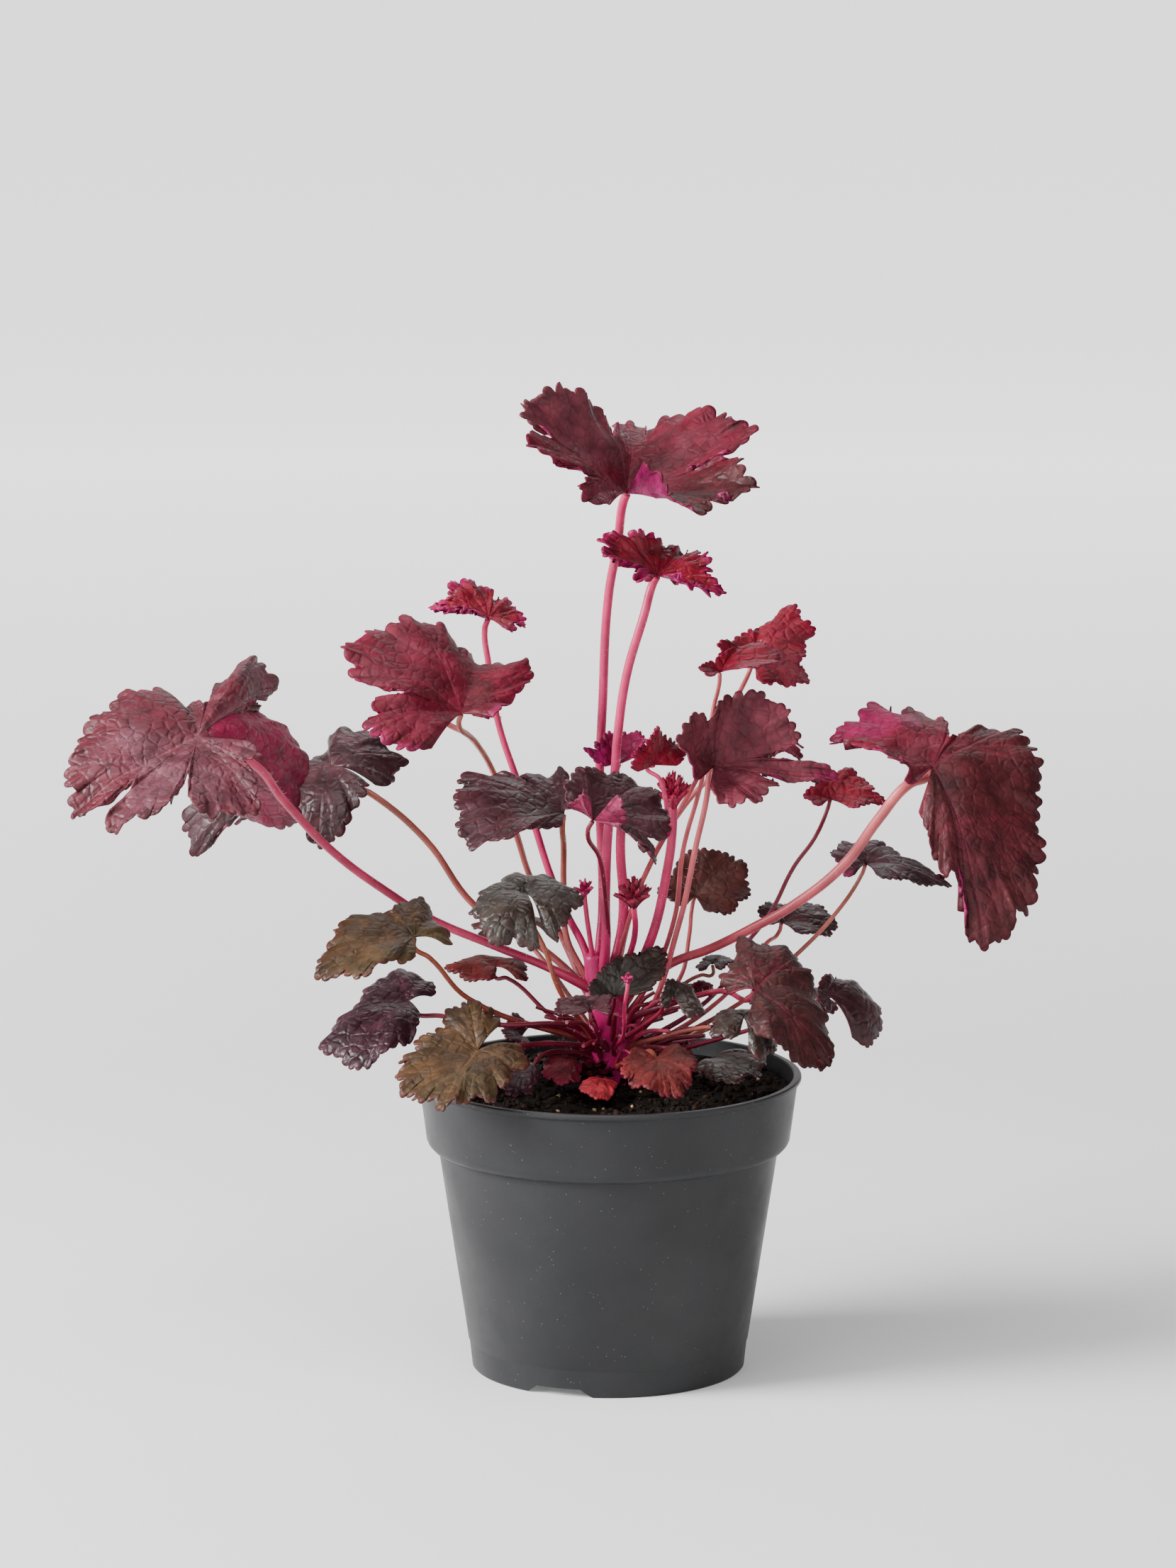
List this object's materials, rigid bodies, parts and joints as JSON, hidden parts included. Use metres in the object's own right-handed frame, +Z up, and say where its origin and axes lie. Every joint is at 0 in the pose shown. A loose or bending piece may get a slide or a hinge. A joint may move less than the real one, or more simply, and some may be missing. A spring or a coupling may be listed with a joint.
{
  "type": "heuchera plant in a nursery pot",
  "caption": "Young leafy perennial with lobed, waved burgundy leaves on pink stalks, growing from a magenta crown in a round tapered charcoal plastic pot of dark peat.",
  "frame": {"origin": "centre of the pot's underside, on the plane that it rests on", "axes": "+Z up out of the pot, -Y towards the viewer of the picture, +X to the viewer's right"},
  "size_m": [0.3257, 0.1876, 0.3336],
  "materials": {
    "pot_plastic": "satin moulded plastic with fine dust",
    "peat": "rough damp peat with bark crumbs",
    "stalk_pink": "soft fleshy stalk with fine hairs",
    "leaf_burgundy": "soft satin leaf with raised veins",
    "leaf_red": "young crinkled leaf, satin",
    "leaf_mauve": "soft satin leaf with a pale bloom",
    "leaf_dark": "glossy dark leaf",
    "leaf_green_dark": "glossy green-black leaf",
    "leaf_olive_dark": "older leaf, dark olive and satin",
    "leaf_brown_red": "soft satin leaf",
    "leaf_coral": "young leaf, bright and satin",
    "leaf_dark_red": "young leaf, satin",
    "leaf_olive": "older leaf, olive brown and satin",
    "leaf_purple_dark": "glossy purple-black leaf",
    "leaf_magenta": "tight young leaf, satin",
    "bud_magenta": "tight young bud, satin"
  },
  "bodies": {
    "root": {"pot": "pot_plastic", "soil": "peat", "crown": "stalk_pink", "leaf_top": "leaf_burgundy", "leaf_top_young": "leaf_red", "leaf_young_left": "leaf_red", "leaf_left_high": "leaf_burgundy", "leaf_far_left": "leaf_mauve", "leaf_left_back": "leaf_dark", "leaf_mid_left": "leaf_dark", "leaf_mid_right": "leaf_dark", "leaf_low_left": "leaf_green_dark", "leaf_right_high": "leaf_red", "leaf_right_small": "leaf_red", "leaf_right_mid": "leaf_burgundy", "leaf_right_low_back": "leaf_olive_dark", "leaf_far_right": "leaf_burgundy", "leaf_right_young": "leaf_red", "leaf_right_side": "leaf_dark", "leaf_right_low": "leaf_dark", "leaf_front_right": "leaf_burgundy", "leaf_right_curled": "leaf_dark", "leaf_green_right": "leaf_green_dark", "leaf_green_crown": "leaf_green_dark", "leaf_dark_curl": "leaf_green_dark", "leaf_edge_small": "leaf_dark", "leaf_front_round": "leaf_brown_red", "leaf_coral": "leaf_coral", "leaf_soil_left": "leaf_dark_red", "leaf_front_left": "leaf_olive", "leaf_left_low": "leaf_olive", "leaf_left_dark": "leaf_purple_dark", "leaf_left_small": "leaf_brown_red", "leaf_purple_small": "leaf_purple_dark", "leaf_shoot_cup": "leaf_magenta", "leaf_shoot_red": "leaf_red", "leaf_red_small": "leaf_dark_red", "leaf_grey_edge": "leaf_dark", "leaf_soil_right": "leaf_green_dark", "leaf_soil_purple": "leaf_purple_dark", "leaf_back_left": "leaf_burgundy", "leaf_back_right": "leaf_burgundy", "leaf_back_low_left": "leaf_olive_dark", "leaf_back_low_right": "leaf_dark", "bud_tall": "bud_magenta", "bud_basket": "bud_magenta", "bud_left": "bud_magenta", "bud_low": "bud_magenta"}
  },
  "joints": []
}
